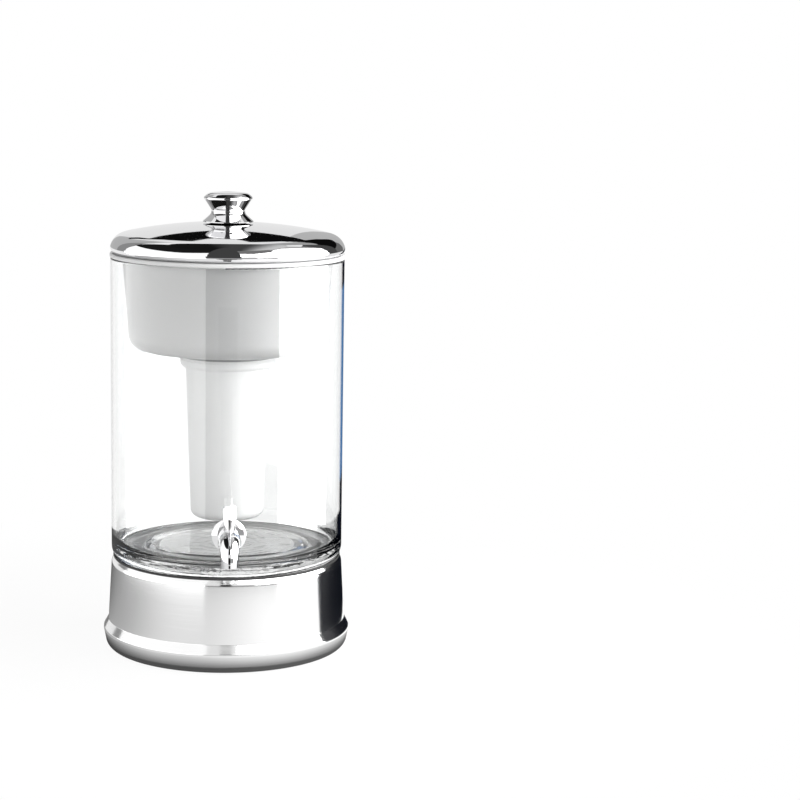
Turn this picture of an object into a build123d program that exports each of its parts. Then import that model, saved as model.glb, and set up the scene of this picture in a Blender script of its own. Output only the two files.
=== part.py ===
"""Gravity water filter with tap: a glass jar on a spun steel stand, filled through a
reservoir and a hanging screw-in cartridge, with a quarter-turn tap and a lift-off lid.

Millimetres. +Z is up, the vessel's axis is Z, the table is Z = 0 and the tap faces -Y.
"""

import os
from math import cos, radians, sin, sqrt, tan

from build123d import *

os.makedirs("parts", exist_ok=True)

# ---------------------------------------------------------------- driving dimensions

# Clearances shared by every fit
slip = 0.3  # parts that drop into each other
snug = 0.1  # parts that are pressed or welded together
running = 0.05  # radial clearance of a turning fit

# Glass jar
jar_radius = 112.5
jar_wall = 4.0
jar_height = 298.3
jar_heel = 17.5  # outside corner between wall and base
jar_floor = 16.8  # glass below the moat round the inside floor
jar_floor_corner = 13.0
jar_rim_round = 1.7
jar_bearing_width = 15.0  # width of the flat ring that the jar stands on
punt_rise = 6.5  # hollow pressed up under the base
punt_slope = 14.0
punt_round = 2.0
floor_rise = 2.5  # raised middle of the inside floor
floor_slope = 6.0

# Spun steel stand
stand_height = 90.2
jar_seat_depth = 6.0  # the jar's base lies this far below the stand's lip
stand_sheet = 0.9
sheet_bend = 0.25  # inside radius of a tight bend
lip_gap = 0.4  # between the lip and the heel of the glass
lip_flat = 0.2
shoulder_lean = 29.0  # degrees from upright
shoulder_drop = 4.4  # from the lip down to the wall
shoulder_round = 9.0
wall_flare = 3.2  # the wall widens by this much on its way down
crease_height = 28.5  # where the wall ends and the foot begins
crease_bend = 1.2
foot_flare = 4.7
foot_flare_drop = 8.2
foot_band = 2.2  # upright band round the widest part of the foot
foot_bend = 2.4
foot_tuck = 3.5
foot_roll = 9.0
foot_lift = 0.6  # the steel stays this far off the table
well_inset = 14.0  # from the widest radius to the well in the underside
well_depth = 4.4
well_flange = 8.5  # flat steel ring between frame and bottom plate

# Moulded frame inside the stand
deck_thickness = 2.5
seat_thickness = 3.0
seat_width = 12.0
seat_lip_height = 1.2
seat_lip_width = 1.4
skirt_thickness = 2.5
skirt_inset = 3.0  # from the well's wall to the skirt
rib_count = 18
rib_thickness = 2.2
rib_clearance = 12.0  # between the ribs' lower edges and the bottom plate
hub_radius = 20.0
hub_wall = 3.0
boss_count = 6
boss_circle_radius = 62.0
boss_radius = 4.8

# Bottom plate, its screws and the rubber foot
plate_thickness = 3.0
plate_ring_height = 2.4
plate_ring_width = 2.5
screw_pad_radius = 7.2
screw_pad_height = 3.0
screw_pad_web = 2.4  # plastic between a screw's head and the frame's boss
screw_radius = 1.6
screw_head_radius = 4.0
screw_head_height = 2.4
screw_length = 16.0
screw_tip_gap = 1.0
foot_ring_width = 8.0
foot_ring_inset = 3.5
foot_groove = 1.2

# Reservoir
tub_gap = 7.5  # between the tub and the inside of the glass
tub_depth = 88.5
tub_taper = 6.3
tub_wall = 2.5
tub_floor = 3.0
tub_corner = 15.0
flange_thickness = 4.0
flange_overhang = 0.7
flange_round = 1.2
neck_flange_width = 8.0
neck_flange_depth = 5.0
neck_flange_bevel = 2.3
neck_wall = 3.5
neck_rise = 5.0  # the threaded neck stands this high above the tub's floor

# Cartridge
cup_top_radius = 40.5
cup_taper = 4.8
cup_wall = 2.0
cup_floor = 2.5
cup_corner = 8.0
cup_floor_gap = 25.5  # left free between the cup and the glass floor
outlet_slots = 8
outlet_slot_length = 14.0
outlet_slot_width = 3.0
outlet_circle_radius = 18.0
collar_overhang = 5.5
collar_height = 9.8
collar_round = 4.0
collar_step = 0.7
collar_step_drop = 2.2
cap_socket_depth = 7.0
cap_neck_wall = 2.6
cap_neck_height = 17.0
grille_thickness = 2.5
grille_hub_radius = 5.0
grille_rings = 3
grille_slots = 8  # in the inner ring; each further ring holds as many again
grille_slot_width = 2.4
grille_ring_pitch = 10.0
grille_bar = 3.0  # between one ring of slots and the next
gasket_thickness = 2.2
gasket_recess = 0.9
screen_thickness = 0.8
separator_thickness = 2.0
outlet_pad_thickness = 6.0
carbon_bed_height = 42.0

# Lid
lid_gap = 0.8  # shadow gap between lid and flange
lid_inset = 0.5  # the lid is this much smaller in radius than the flange
lid_sheet = 1.0
lid_edge_tuck = 1.9
lid_tuck_height = 2.3
lid_tuck_depth = 0.6
lid_side_height = 5.9
lid_shoulder_width = 12.7
lid_shoulder_height = 12.3
lid_dome_curve = 480.0  # radius of the dome
lid_pad_radius = 23.0  # flat under the knob
lid_hem = 3.8
pan_sheet = 0.9
pan_bend = 1.3
pan_depth = 17.0
pan_gap = 5.5  # between the pan and the inside of the tub
pan_roll = 3.0
lid_gasket_width = 6.0

# Knob
knob_foot_radius = 16.0
knob_skirt_radius = 24.3
knob_skirt_rise = 1.3
knob_skirt_edge = 0.8
knob_waist_radius = 14.6
knob_waist_height = 10.6
knob_waist_round = 5.0
knob_head_radius = 24.1
knob_head_height = 24.4
knob_head_round = 2.4
knob_crown_radius = 19.0
knob_crown_height = 28.8
knob_crown_round = 9.0
knob_height = 30.5
knob_screw_radius = 2.0
knob_screw_length = 14.0
knob_screw_head_radius = 4.0
knob_screw_head_height = 2.8
knob_washer_radius = 8.0
knob_washer_thickness = 1.2

# Tap
tap_above_base = 49.8  # height of the tap's axis above the jar's base
shank_radius = 7.9
shank_bore = 5.0
shank_tail = 3.8  # thread left free behind the lock nut
bore_stop = 12.0  # the wide bore ends this far in front of the glass
escutcheon_radius = 16.0
escutcheon_edge = 1.2
escutcheon_thickness = 3.5
escutcheon_dome = 14.0
outer_seal_thickness = 2.5  # at the middle of the saddle
outer_seal_radius = 14.8
inner_seal_thickness = 3.0
inner_seal_radius = 14.0
inner_washer_thickness = 1.2
inner_washer_radius = 13.0
lock_nut_flats = 22.0
lock_nut_thickness = 6.0
valve_reach = 22.0  # from the glass to the valve's axis
spout_reach = 49.5  # from the glass to the outlet's axis
spout_drop = 19.0  # from the tap's axis down to the outlet
spout_nozzle = 3.0
neck_radius = 9.6
belly_radius = 10.75
tip_radius = 7.7
outlet_radius = 5.5
outlet_depth = 10.0
waterway_radius = 2.8
post_radius = 5.4
post_height = 18.0  # above the tap's axis
under_boss_radius = 6.5
under_boss_drop = 11.4

# Valve plug and lever
plug_radius = 4.0
plug_floor_gap = 0.3
plug_shelf = 2.8  # metal left under the plug's barrel
port_radius = 2.6
stud_radius = 2.0
stud_tail = 1.0
ring_section = 1.1  # thickness of an O-ring
ring_heights = (-5.4, 6.6, 12.6)  # O-rings, measured from the tap's axis
plug_washer_radius = 5.0
plug_washer_thickness = 0.8
plug_nut_flats = 7.0
plug_nut_thickness = 3.2
tang_width = 5.6
tang_height = 7.0
lever_gap = 0.3  # between the post and the lever's hub
lever_hub_radius = 6.1
lever_hub_height = 12.7
lever_hub_round = 1.2
lever_tilt = 12.5  # degrees above level
lever_length = 51.5
lever_rise = 6.7  # from the hub's lower face to the arm's axis
lever_root_width = 9.8
lever_root_thickness = 8.0
lever_tip_width = 10.4
lever_tip_thickness = 12.6
lever_edge_round = 1.6
lever_nose = 2.2  # the end comes forward to an upright edge by this much
lever_screw_radius = 1.5
lever_screw_head_radius = 2.8
lever_screw_head_height = 1.8
lever_screw_length = 8.0
lever_screw_cover = 0.6

# ---------------------------------------------------------------- places worked out from them

# Jar and stand
jar_base = stand_height - jar_seat_depth
jar_rim = jar_base + jar_height
jar_inner_radius = jar_radius - jar_wall
jar_floor_level = jar_base + jar_floor
heel_radius = jar_radius - jar_heel
punt_radius = heel_radius - jar_bearing_width

# The lip's inner bend is tangent to a circle that keeps lip_gap from the glass heel
lip_bend = stand_sheet + sheet_bend
lip_reach = jar_heel + lip_gap + lip_bend
lip_drop = jar_base + jar_heel - (stand_height - lip_bend)
lip_inner_radius = heel_radius + sqrt(lip_reach**2 - lip_drop**2) - lip_bend
lip_turn = radians(90 - shoulder_lean)  # from the lip's flat into the shoulder
lip_outer_radius = lip_inner_radius + lip_bend * (1 + tan(lip_turn / 2)) + lip_flat
shoulder_radius = lip_outer_radius + shoulder_drop * tan(radians(shoulder_lean))
crease_radius = shoulder_radius + wall_flare
flare_height = crease_height - foot_flare_drop
foot_radius = crease_radius + foot_flare
well_radius = foot_radius - well_inset
well_level = foot_lift + well_depth
flange_inner_radius = well_radius - well_flange

# Frame, bottom plate and foot
frame_base = well_level + stand_sheet
deck_top = jar_base - seat_thickness
deck_bottom = deck_top - deck_thickness
deck_radius = lip_inner_radius - slip
seat_outer_radius = heel_radius + snug
seat_inner_radius = seat_outer_radius - seat_width
skirt_radius = well_radius - skirt_inset
hub_middle = hub_radius - hub_wall / 2
plate_top = well_level
plate_bottom = plate_top - plate_thickness
rib_bottom = plate_top + rib_clearance
boss_bottom = plate_top + screw_pad_height
boss_hole_depth = screw_length - screw_pad_web + screw_tip_gap
screw_seat = boss_bottom - screw_pad_web
foot_ring_outer = flange_inner_radius - foot_ring_inset

# Reservoir and cartridge
tub_top_radius = jar_inner_radius - tub_gap
tub_bottom_radius = tub_top_radius - tub_taper
tub_bottom = jar_rim - tub_depth
tub_inside_floor = tub_bottom + tub_floor
flange_top = jar_rim + flange_thickness
flange_radius = jar_radius + flange_overhang
cup_bottom_radius = cup_top_radius - cup_taper
cap_neck_inner_radius = cup_top_radius - cup_wall + snug
cap_neck_radius = cap_neck_inner_radius + cap_neck_wall
neck_bore_radius = cap_neck_radius + slip
neck_flange_radius = neck_bore_radius + neck_flange_width
neck_bottom = tub_bottom - neck_flange_depth
neck_top = tub_inside_floor + neck_rise
collar_radius = cup_top_radius + collar_overhang
collar_top = neck_bottom - gasket_thickness
collar_bottom = collar_top - collar_height
collar_step_level = collar_top - collar_step_drop
cap_socket_top = collar_bottom + cap_socket_depth
grille_top = collar_top + cap_neck_height
grille_bottom = grille_top - grille_thickness
cup_bottom = jar_floor_level + floor_rise + cup_floor_gap
cup_inside_floor = cup_bottom + cup_floor
outlet_pad_top = cup_inside_floor + outlet_pad_thickness
carbon_bottom = cap_socket_top - carbon_bed_height
separator_bottom = carbon_bottom - separator_thickness
filter_beds = (
    ("outlet_pad", cup_inside_floor, outlet_pad_top, cup_corner - cup_wall),
    ("resin_bed", outlet_pad_top, separator_bottom, 0),
    ("stage_separator", separator_bottom, carbon_bottom, 0),
    ("carbon_bed", carbon_bottom, cap_socket_top, 0),
)

# Lid
lid_base = flange_top + lid_gap
lid_radius = flange_radius - lid_inset
lid_shoulder_base = lid_base + lid_side_height
lid_dome_radius = lid_radius - lid_shoulder_width
lid_dome_edge = lid_shoulder_base + lid_shoulder_height
lid_pad_level = (
    lid_dome_edge
    + sqrt(lid_dome_curve**2 - lid_pad_radius**2)
    - sqrt(lid_dome_curve**2 - lid_dome_radius**2)
)
lid_edge_radius = lid_radius - lid_edge_tuck
lid_hem_radius = lid_edge_radius - lid_hem
pan_seat = lid_base + lid_sheet
pan_radius = tub_top_radius - tub_wall - pan_gap
pan_flange_radius = lid_edge_radius - lid_sheet
pan_bottom = flange_top - pan_depth
knob_screw_seat = lid_pad_level - lid_sheet - knob_washer_thickness

# Tap, plug and lever
tap_level = jar_base + tap_above_base
hole_radius = shank_radius + slip
escutcheon_front = outer_seal_thickness + escutcheon_thickness
clamp_depth = jar_wall + inner_seal_thickness + inner_washer_thickness
shank_inside = clamp_depth + lock_nut_thickness + shank_tail
bend_radius = spout_drop - spout_nozzle
belly_reach = spout_reach - bend_radius
outlet_y = -jar_radius - spout_reach
outlet_level = tap_level - spout_drop
valve_y = -jar_radius - valve_reach
valve_centre = (0, valve_y, tap_level)
valve_axis = Axis(valve_centre, (0, 0, 1))
post_top = tap_level + post_height
under_boss_bottom = tap_level - under_boss_drop
barrel_floor = under_boss_bottom + plug_shelf
barrel_bottom = barrel_floor + plug_floor_gap
ring_floor_radius = plug_radius - ring_section
washer_bottom = under_boss_bottom - plug_washer_thickness
nut_bottom = washer_bottom - plug_nut_thickness
stud_bottom = nut_bottom - stud_tail
hub_bottom = post_top + lever_gap
hub_top = hub_bottom + lever_hub_height
lever_screw_seat = hub_top - lever_screw_cover - lever_screw_head_height
lever_screw_depth = lever_screw_length - (lever_screw_seat - post_top - tang_height) + slip
lever_heading = (0, -cos(radians(lever_tilt)), sin(radians(lever_tilt)))
lever_upward = (0, sin(radians(lever_tilt)), cos(radians(lever_tilt)))
lever_root = (0, valve_y, hub_bottom + lever_rise)
lever_plane = Plane(origin=lever_root, x_dir=(1, 0, 0), z_dir=lever_heading)
lever_outline_plane = Plane(origin=lever_root, x_dir=lever_heading, z_dir=lever_upward)

# The tap's planes start on the front of the glass: one looks outward, one shows its side
tap_origin = (0, -jar_radius, tap_level)
tap_front = Plane(origin=tap_origin, x_dir=(1, 0, 0), z_dir=(0, -1, 0))
tap_side = Plane(origin=tap_origin, x_dir=(0, -1, 0), z_dir=(-1, 0, 0))
tap_axis = Axis(tap_origin, (0, -1, 0))
spout_turns = (0, 15, 30, 45, 60, 75, 90)


def spout_plane(turn):
    """Plane across the spout where its bend has turned down by this many degrees."""
    across, down = sin(radians(turn)), cos(radians(turn))
    reach = belly_reach + bend_radius * across
    level = tap_level - bend_radius * (1 - down)
    return Plane(origin=(0, -jar_radius - reach, level), x_dir=(1, 0, 0), z_dir=(0, -down, -across))


def spout_radius(turn):
    """The spout narrows evenly round its bend."""
    return belly_radius + (tip_radius - belly_radius) * turn / spout_turns[-1]


def valve_plane(height):
    """Level plane at a height on the valve's axis."""
    return Plane(origin=(0, valve_y, height))


def cup_inner_radius(height):
    """Inside radius of the tapered cup at a height."""
    share = (height - cup_inside_floor) / (cap_socket_top - cup_inside_floor)
    return cup_bottom_radius + cup_taper * share - cup_wall


def outline(*corners):
    """Closed outline through (x, y, corner radius) triples, in the current sketch."""
    points = [(x, y) for x, y, _ in corners]
    rounds = [corner for _, _, corner in corners]
    with BuildLine() as border:
        FilletPolyline(*points, radius=rounds, close=True)
    make_face(border.edges())


def save(piece, name):
    """Label a finished piece and write its STEP file."""
    piece.part.label = name
    export_step(piece.part, f"parts/{name}.step")


# ---------------------------------------------------------------- stand

# Spun shell: lip over the glass heel, sloping shoulder, flared wall, rolled foot and a well
with BuildPart() as stand_shell:
    with BuildSketch(Plane.XZ):
        with BuildLine():
            FilletPolyline(
                (lip_inner_radius, deck_bottom),
                (lip_inner_radius, stand_height),
                (lip_outer_radius, stand_height),
                (shoulder_radius, stand_height - shoulder_drop),
                (crease_radius, crease_height),
                (foot_radius, flare_height),
                (foot_radius, flare_height - foot_band),
                (foot_radius - foot_tuck, foot_lift),
                (well_radius, foot_lift),
                (well_radius, well_level),
                (flange_inner_radius, well_level),
                radius=(lip_bend, lip_bend, shoulder_round, crease_bend, foot_bend, 0)
                + (foot_roll, lip_bend, sheet_bend),
            )
            offset(amount=stand_sheet, side=Side.RIGHT)
        make_face()
    revolve(axis=Axis.Z)
save(stand_shell, "stand_shell")

# Moulded frame: the deck carries the jar, the skirt stands on the foot's steel ring
with BuildPart() as stand_frame:
    with BuildSketch(Plane.XY.offset(deck_bottom)):
        Circle(deck_radius)
    extrude(amount=deck_thickness)
    with BuildSketch(Plane.XY.offset(deck_top)):
        Circle(seat_outer_radius + slip + seat_lip_width)
        Circle(seat_outer_radius + slip, mode=Mode.SUBTRACT)
        Circle(seat_inner_radius - slip)
        Circle(seat_inner_radius - slip - seat_lip_width, mode=Mode.SUBTRACT)
    extrude(amount=seat_lip_height)
    with BuildSketch(Plane.XY.offset(frame_base)):
        Circle(skirt_radius)
        Circle(skirt_radius - skirt_thickness, mode=Mode.SUBTRACT)
    extrude(amount=deck_bottom - frame_base)
save(stand_frame, "stand_frame")

# Insert welded under the deck: hub, ribs and the bosses for the plate's screws
with BuildPart() as frame_ribs:
    with BuildSketch(Plane.XY.offset(rib_bottom)):
        with PolarLocations((hub_middle + skirt_radius) / 2, rib_count):
            Rectangle(skirt_radius - hub_middle, rib_thickness)
        Circle(skirt_radius - skirt_thickness - snug, mode=Mode.INTERSECT)
        Circle(hub_radius)
        Circle(hub_radius - hub_wall, mode=Mode.SUBTRACT)
    extrude(amount=deck_bottom - rib_bottom)
    with BuildSketch(Plane.XY.offset(boss_bottom)):
        with PolarLocations(boss_circle_radius, boss_count):
            Circle(boss_radius)
    extrude(amount=deck_bottom - boss_bottom)
    with BuildSketch(Plane.XY.offset(boss_bottom)):
        with PolarLocations(boss_circle_radius, boss_count):
            Circle(screw_radius + running)
    extrude(amount=boss_hole_depth, mode=Mode.SUBTRACT)
save(frame_ribs, "frame_ribs")

# Silicone ring that the glass stands on
with BuildPart() as seat_gasket:
    with BuildSketch(Plane.XY.offset(deck_top)):
        Circle(seat_outer_radius)
        Circle(seat_inner_radius, mode=Mode.SUBTRACT)
    extrude(amount=seat_thickness)
save(seat_gasket, "seat_gasket")

# Plate that closes the stand, with raised pads and counterbores for its screws
with BuildPart() as bottom_plate:
    with BuildSketch(Plane.XY.offset(plate_bottom)):
        Circle(well_radius - slip)
    extrude(amount=plate_thickness)
    with BuildSketch(Plane.XY.offset(plate_top)):
        Circle(flange_inner_radius - slip)
        Circle(flange_inner_radius - slip - plate_ring_width, mode=Mode.SUBTRACT)
    extrude(amount=plate_ring_height)
    with BuildSketch(Plane.XY.offset(plate_top)):
        with PolarLocations(boss_circle_radius, boss_count):
            Circle(screw_pad_radius)
    extrude(amount=screw_pad_height)
    with BuildSketch(Plane.XY.offset(plate_bottom)):
        with PolarLocations(boss_circle_radius, boss_count):
            Circle(screw_head_radius + slip)
    extrude(amount=screw_seat - plate_bottom, mode=Mode.SUBTRACT)
    with BuildSketch(Plane.XY.offset(screw_seat)):
        with PolarLocations(boss_circle_radius, boss_count):
            Circle(screw_radius + slip)
    extrude(amount=screw_pad_web, mode=Mode.SUBTRACT)
    with BuildSketch(Plane.XY.offset(plate_bottom)):
        Circle(foot_ring_outer)
        Circle(foot_ring_outer - foot_ring_width, mode=Mode.SUBTRACT)
    extrude(amount=foot_groove, mode=Mode.SUBTRACT)
save(bottom_plate, "bottom_plate")

with BuildPart() as plate_screws:
    with BuildSketch(Plane.XY.offset(screw_seat)):
        with PolarLocations(boss_circle_radius, boss_count):
            Circle(screw_head_radius)
    extrude(amount=-screw_head_height)
    with BuildSketch(Plane.XY.offset(screw_seat)):
        with PolarLocations(boss_circle_radius, boss_count):
            Circle(screw_radius)
    extrude(amount=screw_length)
save(plate_screws, "plate_screws")

# Rubber ring that keeps the steel off the table
with BuildPart() as foot_ring:
    with BuildSketch():
        Circle(foot_ring_outer)
        Circle(foot_ring_outer - foot_ring_width, mode=Mode.SUBTRACT)
    extrude(amount=plate_bottom + foot_groove)
save(foot_ring, "foot_ring")

# ---------------------------------------------------------------- glass jar

# Pressed jar: punt under the base, moat round the floor, rounded rim, bored for the tap
with BuildPart() as glass_jar:
    with BuildSketch(Plane.XZ):
        outline(
            (0, jar_base + punt_rise, 0),
            (punt_radius - punt_slope, jar_base + punt_rise, punt_round),
            (punt_radius, jar_base, punt_round),
            (jar_radius, jar_base, jar_heel),
            (jar_radius, jar_rim, jar_rim_round),
            (jar_inner_radius, jar_rim, jar_rim_round),
            (jar_inner_radius, jar_floor_level, jar_floor_corner),
            (punt_radius, jar_floor_level, punt_round),
            (punt_radius - floor_slope, jar_floor_level + floor_rise, punt_round),
            (0, jar_floor_level + floor_rise, 0),
        )
    revolve(axis=Axis.Z)
    with BuildSketch(tap_front):
        Circle(hole_radius)
    extrude(amount=-2 * jar_wall, mode=Mode.SUBTRACT)
save(glass_jar, "glass_jar")

# ---------------------------------------------------------------- tap on the jar

# Body: threaded shank, tapering gooseneck, upright post for the plug and a boss below it
with BuildPart() as tap_body:
    for turn in spout_turns:
        with BuildSketch(spout_plane(turn)):
            Circle(spout_radius(turn))
    loft()
    with BuildSketch(tap_front.offset(belly_reach)):
        Circle(belly_radius)
    with BuildSketch(tap_front.offset((belly_reach + escutcheon_front) / 2)):
        Circle((belly_radius + neck_radius) / 2)
    with BuildSketch(tap_front.offset(escutcheon_front)):
        Circle(neck_radius)
    loft()
    with BuildSketch(Plane(origin=(0, outlet_y, outlet_level))):
        Circle(tip_radius)
    extrude(amount=spout_nozzle)
    with BuildSketch(valve_plane(tap_level)):
        Circle(post_radius)
    extrude(amount=post_height)
    with BuildSketch(valve_plane(under_boss_bottom)):
        Circle(under_boss_radius)
    extrude(amount=under_boss_drop)
    with BuildSketch(tap_front.offset(-shank_inside)):
        Circle(shank_radius)
    extrude(amount=shank_inside + escutcheon_front)
    with BuildSketch(tap_front.offset(-shank_inside)):
        Circle(shank_bore)
    extrude(amount=shank_inside + bore_stop, mode=Mode.SUBTRACT)
    with BuildLine(tap_side):
        FilletPolyline(
            (bore_stop, 0),
            (spout_reach, 0),
            (spout_reach, -spout_drop),
            radius=bend_radius,
        )
    with BuildSketch(tap_front.offset(bore_stop)):
        Circle(waterway_radius)
    sweep(mode=Mode.SUBTRACT)
    with BuildSketch(Plane(origin=(0, outlet_y, outlet_level))):
        Circle(outlet_radius)
    extrude(amount=outlet_depth, mode=Mode.SUBTRACT)
    with BuildSketch(valve_plane(post_top)):
        Circle(plug_radius + running)
    extrude(amount=barrel_floor - post_top, mode=Mode.SUBTRACT)
    with BuildSketch(valve_plane(barrel_floor)):
        Circle(stud_radius + slip)
    extrude(amount=under_boss_bottom - barrel_floor, mode=Mode.SUBTRACT)
save(tap_body, "tap_body")

# Domed cover plate round the neck
with BuildPart() as tap_escutcheon:
    with BuildSketch(tap_side):
        with BuildLine():
            Line((outer_seal_thickness, hole_radius), (outer_seal_thickness, escutcheon_radius))
            Line(
                (outer_seal_thickness, escutcheon_radius),
                (outer_seal_thickness + escutcheon_edge, escutcheon_radius),
            )
            RadiusArc(
                (outer_seal_thickness + escutcheon_edge, escutcheon_radius),
                (escutcheon_front, neck_radius),
                escutcheon_dome,
            )
            Line((escutcheon_front, neck_radius), (escutcheon_front, hole_radius))
            Line((escutcheon_front, hole_radius), (outer_seal_thickness, hole_radius))
        make_face()
    revolve(axis=tap_axis)
save(tap_escutcheon, "tap_escutcheon")

# Saddle washers fit the round glass on one face and the flat metal on the other
with BuildPart() as outer_seal:
    with BuildSketch(tap_front.offset(outer_seal_thickness)):
        Circle(outer_seal_radius)
        Circle(hole_radius, mode=Mode.SUBTRACT)
    extrude(amount=-2 * outer_seal_thickness)
    with BuildSketch():
        Circle(jar_radius)
    extrude(amount=jar_rim, mode=Mode.SUBTRACT)
save(outer_seal, "outer_seal")

with BuildPart() as inner_seal:
    with BuildSketch(tap_front.offset(-jar_wall - inner_seal_thickness)):
        Circle(inner_seal_radius)
        Circle(hole_radius, mode=Mode.SUBTRACT)
    extrude(amount=inner_seal_thickness)
    with BuildSketch():
        Circle(jar_inner_radius)
    extrude(amount=jar_rim, mode=Mode.INTERSECT)
save(inner_seal, "inner_seal")

with BuildPart() as inner_washer:
    with BuildSketch(tap_front.offset(-jar_wall - inner_seal_thickness)):
        Circle(inner_washer_radius)
        Circle(hole_radius, mode=Mode.SUBTRACT)
    extrude(amount=-inner_washer_thickness)
save(inner_washer, "inner_washer")

with BuildPart() as lock_nut:
    with BuildSketch(tap_front.offset(-clamp_depth)):
        RegularPolygon(lock_nut_flats / 2, 6, major_radius=False)
        Circle(shank_radius + running, mode=Mode.SUBTRACT)
    extrude(amount=-lock_nut_thickness)
save(lock_nut, "lock_nut")

# ---------------------------------------------------------------- valve plug and lever

# Barrel with a cross port, ring grooves, a square tang on top and a stud below
with BuildPart() as valve_plug:
    with BuildSketch(valve_plane(barrel_bottom)):
        Circle(plug_radius)
    extrude(amount=post_top - barrel_bottom)
    with BuildSketch(valve_plane(stud_bottom)):
        Circle(stud_radius)
    extrude(amount=barrel_bottom - stud_bottom)
    with BuildSketch(valve_plane(post_top)):
        Rectangle(tang_width, tang_width)
    extrude(amount=tang_height)
    for height in ring_heights:
        with BuildSketch(valve_plane(tap_level + height - ring_section / 2)):
            Circle(plug_radius)
            Circle(ring_floor_radius, mode=Mode.SUBTRACT)
        extrude(amount=ring_section, mode=Mode.SUBTRACT)
    with BuildSketch(Plane(origin=valve_centre, z_dir=(1, 0, 0))):
        Circle(port_radius)
    extrude(amount=plug_radius, both=True, mode=Mode.SUBTRACT)
    with BuildSketch(valve_plane(post_top + tang_height)):
        Circle(lever_screw_radius + running)
    extrude(amount=-lever_screw_depth, mode=Mode.SUBTRACT)
save(valve_plug, "valve_plug")

with BuildPart() as plug_orings:
    with BuildSketch(Plane(origin=valve_centre, x_dir=(1, 0, 0), z_dir=(0, -1, 0))):
        for height in ring_heights:
            with Locations((ring_floor_radius + ring_section / 2, height)):
                Circle(ring_section / 2)
    revolve(axis=valve_axis)
save(plug_orings, "plug_orings")

with BuildPart() as plug_washer:
    with BuildSketch(valve_plane(washer_bottom)):
        Circle(plug_washer_radius)
        Circle(stud_radius + running, mode=Mode.SUBTRACT)
    extrude(amount=plug_washer_thickness)
save(plug_washer, "plug_washer")

with BuildPart() as plug_nut:
    with BuildSketch(valve_plane(nut_bottom)):
        RegularPolygon(plug_nut_flats / 2, 6, major_radius=False)
        Circle(stud_radius + running, mode=Mode.SUBTRACT)
    extrude(amount=plug_nut_thickness)
save(plug_nut, "plug_nut")

# Lever: round hub over the plug's tang, and an arm that rises towards its end
with BuildPart() as lever_handle:
    with BuildSketch(lever_plane):
        RectangleRounded(lever_root_width, lever_root_thickness, lever_edge_round)
    with BuildSketch(lever_plane.offset(lever_length)):
        RectangleRounded(lever_tip_width, lever_tip_thickness, lever_edge_round)
    loft()
    for side in (1, -1):
        with BuildSketch(lever_outline_plane):
            with BuildLine():
                Polyline(
                    (lever_length, 0),
                    (lever_length, side * lever_tip_width),
                    (lever_length - 2 * lever_nose, side * lever_tip_width),
                    close=True,
                )
            make_face()
        extrude(amount=lever_tip_thickness, both=True, mode=Mode.SUBTRACT)
    with BuildSketch(valve_plane(hub_bottom)):
        Circle(lever_hub_radius)
    extrude(amount=lever_hub_height)
    fillet(lever_handle.edges().filter_by(GeomType.CIRCLE).sort_by(Axis.Z)[-1],
           radius=lever_hub_round)
    with BuildSketch(valve_plane(hub_bottom)):
        Rectangle(tang_width + 2 * running, tang_width + 2 * running)
    extrude(amount=post_top + tang_height + slip - hub_bottom, mode=Mode.SUBTRACT)
    with BuildSketch(valve_plane(hub_bottom)):
        Circle(lever_screw_radius + slip)
    extrude(amount=lever_hub_height, mode=Mode.SUBTRACT)
    with BuildSketch(valve_plane(hub_top)):
        Circle(lever_screw_head_radius + slip)
    extrude(amount=lever_screw_seat - hub_top, mode=Mode.SUBTRACT)
save(lever_handle, "lever_handle")

with BuildPart() as lever_screw:
    with BuildSketch(valve_plane(lever_screw_seat)):
        Circle(lever_screw_head_radius)
    extrude(amount=lever_screw_head_height)
    with BuildSketch(valve_plane(lever_screw_seat)):
        Circle(lever_screw_radius)
    extrude(amount=-lever_screw_length)
save(lever_screw, "lever_screw")

# ---------------------------------------------------------------- reservoir

# Tapered tub that hangs in the jar by its flange, with a threaded neck for the cartridge
with BuildPart() as reservoir_tub:
    with BuildSketch(Plane.XZ):
        outline(
            (neck_bore_radius, neck_bottom, 0),
            (neck_flange_radius - neck_flange_bevel, neck_bottom, 0),
            (neck_flange_radius, neck_bottom + neck_flange_bevel, 0),
            (neck_flange_radius, tub_bottom, 0),
            (tub_bottom_radius, tub_bottom, tub_corner),
            (tub_top_radius, jar_rim, flange_round),
            (flange_radius, jar_rim, flange_round),
            (flange_radius, flange_top, flange_round),
            (tub_top_radius - tub_wall, flange_top, flange_round),
            (tub_bottom_radius - tub_wall, tub_inside_floor, tub_corner - tub_wall),
            (neck_bore_radius + neck_wall, tub_inside_floor, flange_round),
            (neck_bore_radius + neck_wall, neck_top, flange_round),
            (neck_bore_radius, neck_top, 0),
        )
    revolve(axis=Axis.Z)
save(reservoir_tub, "reservoir_tub")

# ---------------------------------------------------------------- cartridge

# Tapered cup with outlet slots in its base
with BuildPart() as cartridge_shell:
    with BuildSketch(Plane.XZ):
        outline(
            (0, cup_bottom, 0),
            (cup_bottom_radius, cup_bottom, cup_corner),
            (cup_top_radius, cap_socket_top, 0),
            (cup_top_radius - cup_wall, cap_socket_top, 0),
            (cup_bottom_radius - cup_wall, cup_inside_floor, cup_corner - cup_wall),
            (0, cup_inside_floor, 0),
        )
    revolve(axis=Axis.Z)
    with BuildSketch(Plane.XY.offset(cup_bottom)):
        with PolarLocations(outlet_circle_radius, outlet_slots):
            SlotOverall(outlet_slot_length, outlet_slot_width)
    extrude(amount=cup_floor, mode=Mode.SUBTRACT)
save(cartridge_shell, "cartridge_shell")

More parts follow.
